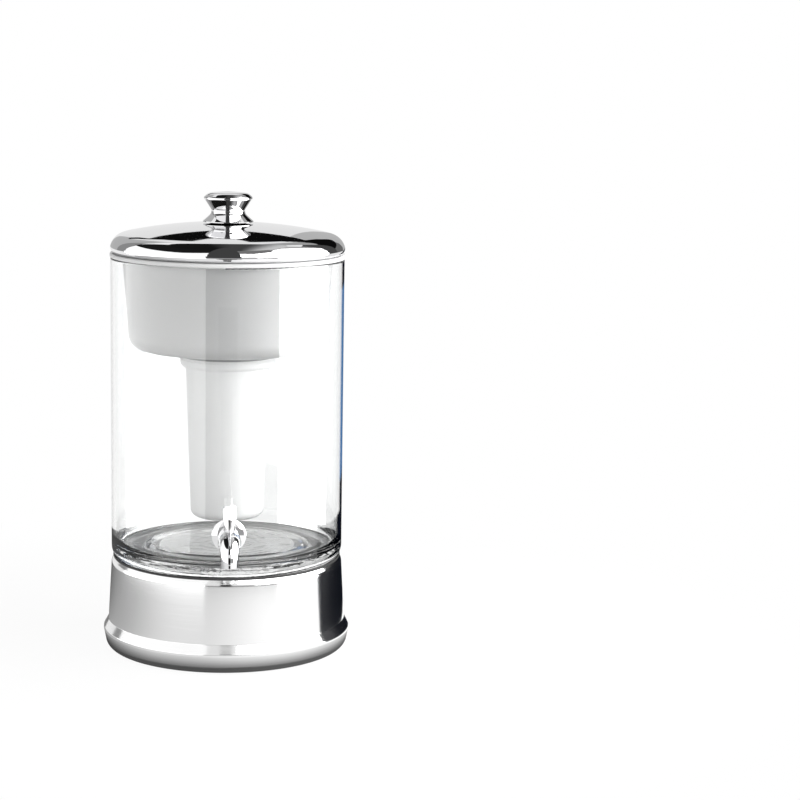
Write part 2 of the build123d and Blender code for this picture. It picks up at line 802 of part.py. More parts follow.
# Cap: collar over the cup, threaded neck and a slotted inlet grille
with BuildPart() as cartridge_cap:
    with BuildSketch(Plane.XZ):
        outline(
            (cup_top_radius + snug, collar_bottom, 0),
            (collar_radius, collar_bottom, collar_round),
            (collar_radius, collar_step_level, collar_step),
            (collar_radius - collar_step, collar_step_level, 0),
            (collar_radius - collar_step, collar_top, collar_step),
            (cap_neck_radius, collar_top, 0),
            (cap_neck_radius, grille_top, collar_step),
            (0, grille_top, 0),
            (0, grille_bottom, 0),
            (cap_neck_inner_radius, grille_bottom, 0),
            (cap_neck_inner_radius, cap_socket_top, 0),
            (cup_top_radius + snug, cap_socket_top, 0),
        )
    revolve(axis=Axis.Z)
    with BuildSketch(Plane.XY.offset(grille_bottom)):
        for ring in range(grille_rings):
            ring_radius = grille_hub_radius + (ring + 1 / 2) * grille_ring_pitch
            with PolarLocations(ring_radius, grille_slots * (ring + 1)):
                Rectangle(grille_ring_pitch - grille_bar, grille_slot_width)
    extrude(amount=grille_thickness, mode=Mode.SUBTRACT)
save(cartridge_cap, "cartridge_cap")

# Silicone ring squeezed between the collar and the reservoir's neck
with BuildPart() as cartridge_gasket:
    with BuildSketch(Plane.XY.offset(collar_top)):
        Circle(collar_radius - gasket_recess)
        Circle(neck_bore_radius, mode=Mode.SUBTRACT)
    extrude(amount=gasket_thickness)
save(cartridge_gasket, "cartridge_gasket")

with BuildPart() as inlet_screen:
    with BuildSketch(Plane.XY.offset(grille_bottom)):
        Circle(cap_neck_inner_radius - snug)
    extrude(amount=-screen_thickness)
save(inlet_screen, "inlet_screen")

with BuildPart() as foam_distributor:
    with BuildSketch(Plane.XY.offset(cap_socket_top)):
        Circle(cap_neck_inner_radius - snug)
    extrude(amount=grille_bottom - screen_thickness - cap_socket_top)
save(foam_distributor, "foam_distributor")

# Filter beds fill the tapered cup, one on top of the other
for name, low, high, corner in filter_beds:
    with BuildPart() as filter_bed:
        with BuildSketch(Plane.XZ):
            outline(
                (0, low, 0),
                (cup_inner_radius(low) - snug, low, corner),
                (cup_inner_radius(high) - snug, high, 0),
                (0, high, 0),
            )
        revolve(axis=Axis.Z)
    save(filter_bed, name)

# ---------------------------------------------------------------- lid

# Pressed steel dome with a rounded shoulder and an edge folded in to carry the pan
with BuildPart() as lid_shell:
    with BuildSketch(Plane.XZ):
        with BuildLine():
            pad = Line(
                (knob_screw_radius + slip, lid_pad_level),
                (lid_pad_radius, lid_pad_level),
            )
            dome = RadiusArc(pad @ 1, (lid_dome_radius, lid_dome_edge), lid_dome_curve)
            shoulder = TangentArc(
                dome @ 1, (lid_radius, lid_shoulder_base), tangent=dome % 1
            )
            side = TangentArc(
                shoulder @ 1,
                (lid_radius - lid_tuck_depth, lid_base + lid_tuck_height),
                tangent=shoulder % 1,
            )
            Line(side @ 1, (lid_edge_radius, lid_base))
            Line((lid_edge_radius, lid_base), (lid_hem_radius, lid_base))
            offset(amount=lid_sheet, side=Side.RIGHT)
        make_face()
    revolve(axis=Axis.Z)
save(lid_shell, "lid_shell")

# Pan under the lid: its flange is welded to the folded edge, its wall drops into the tub
with BuildPart() as lid_skirt:
    with BuildSketch(Plane.XZ):
        with BuildLine():
            FilletPolyline(
                (pan_flange_radius, pan_seat),
                (pan_radius, pan_seat),
                (pan_radius, pan_bottom),
                (pan_radius - pan_roll, pan_bottom),
                radius=(pan_bend, pan_bend),
            )
            offset(amount=pan_sheet, side=Side.RIGHT)
        make_face()
    revolve(axis=Axis.Z)
save(lid_skirt, "lid_skirt")

with BuildPart() as lid_gasket:
    with BuildSketch(Plane.XY.offset(flange_top)):
        Circle(lid_hem_radius - slip)
        Circle(lid_hem_radius - slip - lid_gasket_width, mode=Mode.SUBTRACT)
    extrude(amount=pan_seat - flange_top)
save(lid_gasket, "lid_gasket")

# Turned knob: narrow foot, sharp skirt, waist, rounded head and a tapped hole
with BuildPart() as lid_knob:
    with BuildSketch(Plane.XZ):
        outline(
            (0, lid_pad_level, 0),
            (knob_foot_radius, lid_pad_level, 0),
            (knob_skirt_radius, lid_pad_level + knob_skirt_rise, 0),
            (knob_skirt_radius, lid_pad_level + knob_skirt_rise + knob_skirt_edge, 0),
            (knob_waist_radius, lid_pad_level + knob_waist_height, knob_waist_round),
            (knob_head_radius, lid_pad_level + knob_head_height, knob_head_round),
            (knob_crown_radius, lid_pad_level + knob_crown_height, knob_crown_round),
            (0, lid_pad_level + knob_height, 0),
        )
    revolve(axis=Axis.Z)
    with BuildSketch(Plane.XY.offset(lid_pad_level)):
        Circle(knob_screw_radius + running)
    extrude(amount=knob_screw_length, mode=Mode.SUBTRACT)
save(lid_knob, "lid_knob")

with BuildPart() as knob_washer:
    with BuildSketch(Plane.XY.offset(lid_pad_level - lid_sheet)):
        Circle(knob_washer_radius)
        Circle(knob_screw_radius + slip, mode=Mode.SUBTRACT)
    extrude(amount=-knob_washer_thickness)
save(knob_washer, "knob_washer")

with BuildPart() as knob_screw:
    with BuildSketch(Plane.XY.offset(knob_screw_seat)):
        Circle(knob_screw_head_radius)
    extrude(amount=-knob_screw_head_height)
    with BuildSketch(Plane.XY.offset(knob_screw_seat)):
        Circle(knob_screw_radius)
    extrude(amount=knob_screw_length)
save(knob_screw, "knob_screw")
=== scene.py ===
import math

import bmesh
import bpy
from mathutils import Matrix, Vector


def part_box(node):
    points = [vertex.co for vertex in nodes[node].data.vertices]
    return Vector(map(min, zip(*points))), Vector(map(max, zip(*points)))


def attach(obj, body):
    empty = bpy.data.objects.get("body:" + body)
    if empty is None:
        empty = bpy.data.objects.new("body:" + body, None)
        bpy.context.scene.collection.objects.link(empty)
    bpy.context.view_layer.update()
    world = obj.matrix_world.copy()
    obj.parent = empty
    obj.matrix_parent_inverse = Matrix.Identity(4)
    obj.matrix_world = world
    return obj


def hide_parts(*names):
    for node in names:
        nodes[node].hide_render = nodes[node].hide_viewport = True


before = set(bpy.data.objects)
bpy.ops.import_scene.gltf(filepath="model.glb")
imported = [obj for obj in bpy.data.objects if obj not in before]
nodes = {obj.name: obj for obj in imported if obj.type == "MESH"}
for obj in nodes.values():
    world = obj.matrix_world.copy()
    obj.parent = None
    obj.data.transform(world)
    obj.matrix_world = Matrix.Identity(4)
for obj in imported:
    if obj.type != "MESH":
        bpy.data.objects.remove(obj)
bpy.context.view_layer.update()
mm = 0.001


def arc(azimuth, radius, height):
    # a point on a circle round the jar; azimuth 0 faces the tap, and it grows to the right
    turn = math.radians(azimuth)
    return Vector((radius * math.sin(turn), -radius * math.cos(turn), height))


class Wire:  # a socket that can be used in ordinary sums
    def __init__(self, shader, socket):
        self.shader = shader
        self.socket = socket

    def beside(self, name):  # another output of the same node
        return Wire(self.shader, self.socket.node.outputs[name])

    def maths(self, operation, first, second):
        return self.shader.node("ShaderNodeMath", {"operation": operation}, {0: first, 1: second})

    def __add__(self, other):
        return self.maths("ADD", self, other)

    def __radd__(self, other):
        return self.maths("ADD", other, self)

    def __sub__(self, other):
        return self.maths("SUBTRACT", self, other)

    def __rsub__(self, other):
        return self.maths("SUBTRACT", other, self)

    def __mul__(self, other):
        return self.maths("MULTIPLY", self, other)

    def __rmul__(self, other):
        return self.maths("MULTIPLY", other, self)

    def __pow__(self, other):
        return self.maths("POWER", self, other)


class Shader:  # one material and the nodes in it
    def __init__(self, name):
        self.material = bpy.data.materials.new(name)
        self.material.use_nodes = True
        self.tree = self.material.node_tree
        self.tree.nodes.clear()
        self.output = self.tree.nodes.new("ShaderNodeOutputMaterial")

    def plug(self, socket, value):
        if isinstance(value, Wire):
            self.tree.links.new(value.socket, socket)
        else:
            socket.default_value = value

    def node(self, kind, settings=None, values=None, out=0):
        made = self.tree.nodes.new(kind)
        for name, value in (settings or {}).items():
            setattr(made, name, value)
        for name, value in (values or {}).items():
            self.plug(made.inputs[name], value)
        return Wire(self, made.outputs[out])

    def place(self):
        # where a point lies on the object at rest, in metres, whatever the pose
        return self.node("ShaderNodeTexCoord", out="Object")

    def split(self, vector):
        parts = self.node("ShaderNodeSeparateXYZ", {}, {0: vector})
        return [parts.beside(axis) for axis in ("X", "Y", "Z")]

    def stretched(self, vector, scale):
        return self.node("ShaderNodeMapping", {"vector_type": "POINT"}, {"Vector": vector, "Scale": scale})

    def spun(self, place, across, along):
        # lines that run round the jar's axis: fine across them, slow along them
        x, y, z = self.split(place)
        radius = (x * x + y * y) ** 0.5
        around = x + y * 0.7  # changes slowly on the way round
        return self.node("ShaderNodeCombineXYZ", {}, {0: radius * across, 1: around * along, 2: z * across})

    def noise(self, vector, scale, detail=3.0, roughness=0.55, distortion=0.0):
        values = {"Vector": vector, "Scale": scale, "Detail": detail,
                  "Roughness": roughness, "Distortion": distortion}
        return self.node("ShaderNodeTexNoise", {}, values)

    def band(self, value, low, high, start=0.0, end=1.0):
        # goes smoothly from start to end while the value goes from low to high
        settings = {"interpolation_type": "SMOOTHSTEP"}
        values = {"Value": value, "From Min": low, "From Max": high, "To Min": start, "To Max": end}
        return self.node("ShaderNodeMapRange", settings, values)

    def blend(self, factor, first, second):
        settings = {"data_type": "RGBA", "blend_type": "MIX"}
        return self.node("ShaderNodeMix", settings, {0: factor, 6: first, 7: second}, out=2)

    def bump(self, height, strength, depth):
        values = {"Strength": strength, "Distance": depth, "Height": height}
        return self.node("ShaderNodeBump", {}, values)

    def surface(self, values):
        shader = self.node("ShaderNodeBsdfPrincipled", {}, values)
        self.plug(self.output.inputs["Surface"], shader)
        return self.material


def grey(value):
    return (value, value, value, 1.0)


# finishes; bump depths are in metres
def spunSteel(name, look):
    shader = Shader(name)
    place = shader.place()
    lineCourse = shader.spun(place, look["lineScale"], look["lineRun"])
    hairCourse = shader.spun(place, look["hairScale"], look["hairRun"])
    lines = shader.noise(lineCourse, 1.0, detail=4.0, roughness=0.7)
    hairs = shader.noise(hairCourse, 1.0, detail=2.0, roughness=0.5)
    cloud = shader.noise(place, look["cloudScale"], detail=2.0)
    shade = look["tone"] + (lines - 0.5) * look["lineTone"] + (cloud - 0.5) * look["cloudTone"]
    shade = shade - shader.band(hairs, look["hairLow"], look["hairHigh"]) * look["hairTone"]
    color = shader.node("ShaderNodeCombineColor", {}, {0: shade, 1: shade, 2: shade * look["warmth"]})
    rough = look["rough"] + (lines - 0.5) * look["lineRough"]
    normal = shader.bump(lines, look["bump"], look["depth"])
    return shader.surface({"Base Color": color, "Metallic": 1.0, "Roughness": rough, "Normal": normal,
                           "Anisotropic": look["anisotropy"], "Anisotropic Rotation": look["grainTurn"]})


def polishedMetal(name, look):
    shader = Shader(name)
    place = shader.place()
    smear = shader.noise(place, look["smearScale"], detail=4.0, roughness=0.6)
    fine = shader.noise(place, look["fineScale"], detail=2.0)
    shade = look["tone"] + (smear - 0.5) * look["smearTone"]
    color = shader.node("ShaderNodeCombineColor", {}, {0: shade, 1: shade, 2: shade * look["blue"]})
    rough = look["rough"] + shader.band(smear, low=0.5, high=0.8, end=look["smearRough"])
    normal = shader.bump(fine, look["bump"], look["depth"])
    return shader.surface({"Base Color": color, "Metallic": 1.0, "Roughness": rough, "Normal": normal})


def clearGlass(name, look):
    shader = Shader(name)
    place = shader.place()
    height = shader.split(place)[2]
    base = shader.band(height, look["rippleTop"], look["rippleTop"] - look["rippleFade"])
    ringCourse = shader.spun(place, look["ringScale"], look["ringRun"])
    rings = shader.noise(ringCourse, 1.0, detail=2.0, roughness=0.5)
    ripple = shader.noise(place, look["rippleScale"], detail=3.0, roughness=0.5, distortion=0.6)
    drawn = shader.noise(shader.stretched(place, look["wallStretch"]), look["wallScale"], detail=1.0)
    waves = (rings * look["ring"] + ripple * look["ripple"]) * base + drawn * look["wallWave"]
    normal = shader.bump(waves, strength=1.0, depth=look["depth"])
    return shader.surface({"Base Color": look["tint"], "Transmission Weight": 1.0, "Roughness": 0.0,
                           "IOR": look["ior"], "Normal": normal})


def mouldedPlastic(name, look, depth=0.0002):
    shader = Shader(name)
    place = shader.place()
    grain = shader.noise(place, look["grainScale"], detail=3.0)
    cloud = shader.noise(place, look["cloudScale"], detail=2.0)
    color = shader.blend(shader.band(cloud, low=0.3, high=0.7), look["dark"], look["light"])
    rough = look["rough"] + (grain - 0.5) * look["grainRough"]
    normal = shader.bump(grain, look["bump"], depth)
    return shader.surface({"Base Color": color, "Roughness": rough, "Normal": normal})


def looseGrains(name, look, bump=0.8, depth=0.0006):
    shader = Shader(name)
    place = shader.place()
    values = {"Vector": place, "Scale": look["grainScale"]}
    cells = shader.node("ShaderNodeTexVoronoi", {"feature": "F1"}, values)
    color = shader.blend(shader.band(cells, low=0.1, high=0.7), look["light"], look["dark"])
    normal = shader.bump(1 - cells, bump, depth)
    return shader.surface({"Base Color": color, "Roughness": look["rough"], "Normal": normal})


def wovenMesh(name, look):
    shader = Shader(name)
    x, y = shader.split(shader.place())[:2]
    warp = shader.node("ShaderNodeMath", {"operation": "SINE"}, {0: x * look["threads"]})
    weft = shader.node("ShaderNodeMath", {"operation": "SINE"}, {0: y * look["threads"]})
    weave = warp * weft
    color = shader.blend(shader.band(weave, low=-1.0, high=1.0), look["dark"], look["light"])
    normal = shader.bump(weave, look["bump"], look["depth"])
    return shader.surface({"Base Color": color, "Roughness": look["rough"], "Normal": normal})


def turnedBrass(name, look):
    shader = Shader(name)
    turned = shader.noise(shader.stretched(shader.place(), look["stretch"]), 1.0, detail=3.0)
    color = shader.blend(turned, look["dark"], look["light"])
    rough = look["rough"] + turned * look["turnedRough"]
    return shader.surface({"Base Color": color, "Metallic": 1.0, "Roughness": rough})


steelLook = {"tone": 0.78, "warmth": 1.0, "lineScale": 900.0, "lineRun": 12.0, "lineTone": 0.05,
             "hairScale": 2340.0, "hairRun": 45.0, "hairLow": 0.66, "hairHigh": 0.8, "hairTone": 0.05,
             "cloudScale": 9.0, "cloudTone": 0.03, "rough": 0.13, "lineRough": 0.05, "bump": 0.12,
             "depth": 0.00005, "anisotropy": 0.4, "grainTurn": 0.25}
chromeLook = {"tone": 0.80, "blue": 1.01, "smearScale": 22.0, "smearTone": 0.02, "fineScale": 160.0,
              "rough": 0.03, "smearRough": 0.03, "bump": 0.02, "depth": 0.0001}
plainSteelLook = {"tone": 0.62, "blue": 1.0, "smearScale": 60.0, "smearTone": 0.05, "fineScale": 700.0,
                  "rough": 0.22, "smearRough": 0.08, "bump": 0.1, "depth": 0.0001}
brassLook = {"dark": (0.55, 0.38, 0.13, 1.0), "light": (0.70, 0.52, 0.22, 1.0), "stretch": (20, 20, 900),
             "rough": 0.25, "turnedRough": 0.1}
glassLook = {"tint": (0.995, 1.0, 0.998, 1.0), "ior": 1.48, "rippleTop": 0.112, "rippleFade": 0.012,
             "ringScale": 150.0, "ringRun": 9.0, "ring": 0.25, "rippleScale": 60.0, "ripple": 0.25,
             "wallScale": 9.0, "wallStretch": (1, 1, 0.1), "wallWave": 0.02, "depth": 0.001}
tubLook = {"dark": grey(0.585), "light": grey(0.62), "grainScale": 1500.0, "cloudScale": 7.0,
           "rough": 0.34, "grainRough": 0.06, "bump": 0.05}
cupLook = {"dark": grey(0.85), "light": grey(0.88), "grainScale": 1200.0, "cloudScale": 12.0,
           "rough": 0.4, "grainRough": 0.08, "bump": 0.05}
deckLook = {"dark": grey(0.90), "light": grey(0.94), "grainScale": 900.0, "cloudScale": 15.0,
            "rough": 0.4, "grainRough": 0.1, "bump": 0.15}
darkPlasticLook = {"dark": grey(0.020), "light": grey(0.028), "grainScale": 900.0, "cloudScale": 15.0,
                   "rough": 0.5, "grainRough": 0.15, "bump": 0.25}
rubberLook = {"dark": grey(0.016), "light": grey(0.024), "grainScale": 700.0, "cloudScale": 30.0,
              "rough": 0.62, "grainRough": 0.1, "bump": 0.2}
siliconeLook = {"dark": grey(0.30), "light": grey(0.36), "grainScale": 800.0, "cloudScale": 30.0,
                "rough": 0.5, "grainRough": 0.1, "bump": 0.1}
paleSiliconeLook = {"dark": grey(0.64), "light": grey(0.72), "grainScale": 800.0, "cloudScale": 30.0,
                    "rough": 0.45, "grainRough": 0.1, "bump": 0.1}
whiteNylonLook = {"dark": grey(0.66), "light": grey(0.72), "grainScale": 800.0, "cloudScale": 30.0,
                  "rough": 0.5, "grainRough": 0.1, "bump": 0.1}
foamLook = {"dark": (0.62, 0.61, 0.57, 1.0), "light": (0.78, 0.77, 0.73, 1.0), "grainScale": 900.0,
            "rough": 0.9}
carbonLook = {"dark": grey(0.008), "light": grey(0.05), "grainScale": 1100.0, "rough": 0.75}
resinLook = {"dark": (0.30, 0.13, 0.03, 1.0), "light": (0.72, 0.42, 0.12, 1.0), "grainScale": 1400.0,
             "rough": 0.35}
meshLook = {"dark": grey(0.35), "light": grey(0.78), "threads": 5200.0, "rough": 0.85,
            "bump": 0.5, "depth": 0.0003}

finishes = {
    "stand": spunSteel("satinSpunSteel", steelLook),
    "chrome": polishedMetal("polishedChrome", chromeLook),
    "stainless": polishedMetal("plainStainless", plainSteelLook),
    "brass": turnedBrass("turnedBrass", brassLook),
    "glass": clearGlass("pressedGlass", glassLook),
    "tub": mouldedPlastic("frostedTubPlastic", tubLook),
    "cup": mouldedPlastic("whiteCupPlastic", cupLook),
    "deck": mouldedPlastic("paleDeckPlastic", deckLook),
    "darkPlastic": mouldedPlastic("darkMouldedPlastic", darkPlasticLook),
    "rubber": mouldedPlastic("blackRubber", rubberLook),
    "silicone": mouldedPlastic("greySilicone", siliconeLook),
    "paleSilicone": mouldedPlastic("paleSilicone", paleSiliconeLook),
    "nylon": mouldedPlastic("whiteNylon", whiteNylonLook),
    "foam": looseGrains("openFoam", foamLook),
    "carbon": looseGrains("carbonGranules", carbonLook),
    "resin": looseGrains("resinBeads", resinLook),
    "mesh": wovenMesh("filterMesh", meshLook),
}

nodeFinish = {
    "stand_shell": "stand", "stand_frame": "deck", "frame_ribs": "darkPlastic", "seat_gasket": "paleSilicone",
    "bottom_plate": "darkPlastic", "plate_screws": "stainless", "foot_ring": "rubber",
    "glass_jar": "glass", "tap_body": "chrome", "tap_escutcheon": "chrome", "outer_seal": "rubber",
    "inner_seal": "rubber", "inner_washer": "nylon", "lock_nut": "stainless", "valve_plug": "brass",
    "plug_orings": "rubber", "plug_washer": "stainless", "plug_nut": "chrome", "lever_handle": "chrome",
    "lever_screw": "stainless", "reservoir_tub": "tub", "cartridge_gasket": "silicone",
    "cartridge_shell": "cup", "cartridge_cap": "cup", "inlet_screen": "mesh", "foam_distributor": "foam",
    "carbon_bed": "carbon", "stage_separator": "mesh", "resin_bed": "resin", "outlet_pad": "foam",
    "lid_shell": "chrome", "lid_skirt": "stainless", "lid_gasket": "silicone", "lid_knob": "chrome",
    "knob_washer": "rubber", "knob_screw": "stainless",
}
for name, finish in nodeFinish.items():
    shown = nodes[name]
    shown.data.materials.clear()
    shown.data.materials.append(finishes[finish])
print("finishes:", len(finishes), "on", len(nodeFinish), "nodes")

# small parts made here, in mm; a section is a list of (radius, place along the axis)
lipSealAndGapShade = {  # black rubber bead in the wedge between the glass and the stand's lip; partly a real seal, partly a dark shape that stands in for the shade in the gap there
    "section": ((108.5, 89.95), (109.0, 91.0), (109.75, 92.0), (110.2, 92.25), (110.65, 92.1), (110.95, 91.6),
                (111.0, 90.9), (110.75, 90.2), (110.2, 90.05)),
    "turns": 1.0, "pitch": 0.0, "axis": "Z", "centre": (0.0, 0.0, 0.0), "steps": 180,
    "body": "stand", "finish": "rubber", "slot": "seal_rubber",
}
shankThread = {  # thread on the tap's shank behind its lock nut
    "section": ((7.85, -0.45), (8.25, -0.06), (8.25, 0.06), (7.85, 0.45)),
    "turns": 2.1, "pitch": 1.25, "axis": "Y", "centre": (0.0, -97.7, 134.0), "steps": 72, "runOut": 18,
    "body": "jar", "finish": "chrome", "slot": "tap_chrome",
}
neckThread = {  # thread on the cartridge's neck
    "section": ((41.15, -1.0), (41.4, -0.35), (41.4, 0.35), (41.15, 1.0)),
    "turns": 1.4, "pitch": 6.0, "axis": "Z", "centre": (0.0, 0.0, 291.2), "steps": 120, "runOut": 18,
    "body": "cartridge", "finish": "cup", "slot": "cartridge_plastic",
}
recess = {  # cross cut in a screw's head; its two arms narrow from the mouth to the foot
    "arm": 2.0, "width": 0.55, "depth": 1.3,
    "mouth": 1.1,  # share of the arm's length
    "foot": 0.45,  # share of the arm's length
    "lead": 0.2,  # the cutter stands out of the head by this much
    "weld": 0.002,  # corners of the screw's mesh nearer than this are joined
}
plateScrews = {"node": "plate_screws", "body": "stand", "circle": 62.0, "count": 6, "facing": -1}
knobScrew = {"node": "knob_screw", "body": "lid", "places": ((0.0, 0.0),), "facing": -1}
leverScrew = {"node": "lever_screw", "body": "tap_lever", "places": ((0.0, -134.5),), "facing": 1}
sharpEdge = math.radians(40)


def addPiece(name, mesh, look):
    piece = bpy.data.objects.new(name, mesh)
    bpy.context.scene.collection.objects.link(piece)
    mesh.polygons.foreach_set("use_smooth", [True] * len(mesh.polygons))
    mesh.set_sharp_from_angle(angle=sharpEdge)
    mesh.materials.clear()
    mesh.materials.append(finishes[look["finish"]])
    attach(piece, look["body"])
    return piece


def sweptSection(name, look):
    # carries a section round an axis, and along it where there is a pitch
    build = bmesh.new()
    centre = Vector(look["centre"])
    closed = look["pitch"] == 0
    count = round(look["turns"] * look["steps"])
    root = min(radius for radius, along in look["section"])
    rings = []
    for step in range(count if closed else count + 1):
        angle = 2 * math.pi * step / look["steps"]
        # a thread runs out at its ends
        fade = 1.0 if closed else min(1.0, step / look["runOut"], (count - step) / look["runOut"])
        ring = []
        for radius, along in look["section"]:
            reach = root + (radius - root) * fade
            out, up = reach * math.cos(angle), reach * math.sin(angle)
            on = along + look["pitch"] * step / look["steps"]
            place = Vector((out, up, on)) if look["axis"] == "Z" else Vector((up, on, out))
            ring.append(build.verts.new((centre + place) * mm))
        rings.append(ring)
    pairs = list(zip(rings, rings[1:])) + ([(rings[-1], rings[0])] if closed else [])
    for first, second in pairs:
        for index in range(len(first)):
            after = (index + 1) % len(first)
            build.faces.new((first[index], second[index], second[after], first[after]))
    if not closed:
        build.faces.new(rings[0])
        build.faces.new(rings[-1])
    bmesh.ops.recalc_face_normals(build, faces=build.faces)
    mesh = bpy.data.meshes.new(name)
    build.to_mesh(mesh)
    build.free()
    addPiece(name, mesh, look)


def crossCutter(places, face, facing):
    # two tapered bars across each other at each place, from just outside the head's face inward
    cutter = bmesh.new()
    levels = ((recess["mouth"], face + recess["lead"] * mm * facing),
              (recess["foot"], face - recess["depth"] * mm * facing))
    for x, y in places:
        for across in (False, True):
            corners = []
            for share, level in levels:
                for sideX, sideY in ((-1, -1), (1, -1), (1, 1), (-1, 1)):
                    long, wide = recess["arm"] * share * mm, recess["width"] * mm
                    dx, dy = (wide, long) if across else (long, wide)
                    corners.append(cutter.verts.new((x * mm + sideX * dx, y * mm + sideY * dy, level)))
            cutter.faces.new(corners[:4])
            cutter.faces.new(corners[4:])
            for index in range(4):
                after = (index + 1) % 4
                cutter.faces.new((corners[index], corners[after], corners[after + 4], corners[index + 4]))
    bmesh.ops.recalc_face_normals(cutter, faces=cutter.faces)
    mesh = bpy.data.meshes.new("recessCutter")
    cutter.to_mesh(mesh)
    cutter.free()
    return bpy.data.objects.new("recessCutter", mesh)


def recessedScrew(name, look, places):
    # the same screw with a cross recess; facing is 1 for a head that is seen from above
    low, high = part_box(look["node"])
    face = high.z if look["facing"] > 0 else low.z
    cutter = crossCutter(places, face, look["facing"])
    solid = bmesh.new()
    solid.from_mesh(nodes[look["node"]].data)
    bmesh.ops.remove_doubles(solid, verts=solid.verts, dist=recess["weld"] * mm)
    uncutMesh = bpy.data.meshes.new(name)
    solid.to_mesh(uncutMesh)
    solid.free()
    uncut = bpy.data.objects.new("uncutScrew", uncutMesh)
    for item in (uncut, cutter):
        bpy.context.scene.collection.objects.link(item)
    cut = uncut.modifiers.new("recess", "BOOLEAN")
    cut.object = cutter
    cut.operation = "DIFFERENCE"
    cut.solver = "EXACT"
    cut.use_self = True
    graph = bpy.context.evaluated_depsgraph_get()
    mesh = bpy.data.meshes.new_from_object(uncut.evaluated_get(graph))
    for item in (uncut, cutter):
        bpy.data.objects.remove(item)
    piece = addPiece(name, mesh, {"finish": "stainless", "body": look["body"], "slot": "screw_steel"})
    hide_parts(look["node"])


# the lip bead: a rubber seal that also carries the painted shade of the gap between the glass and the lip
sweptSection("lip_seal_and_gap_shade", lipSealAndGapShade)
sweptSection("shank_thread", shankThread)
sweptSection("neck_thread", neckThread)
plateTurns = [2 * math.pi * index / plateScrews["count"] for index in range(plateScrews["count"])]
platePlaces = [(plateScrews["circle"] * math.cos(turn), plateScrews["circle"] * math.sin(turn))
               for turn in plateTurns]
recessedScrew("plate_screws_recessed", plateScrews, platePlaces)
recessedScrew("knob_screw_recessed", knobScrew, knobScrew["places"])
recessedScrew("lever_screw_recessed", leverScrew, leverScrew["places"])
print("small parts ready")

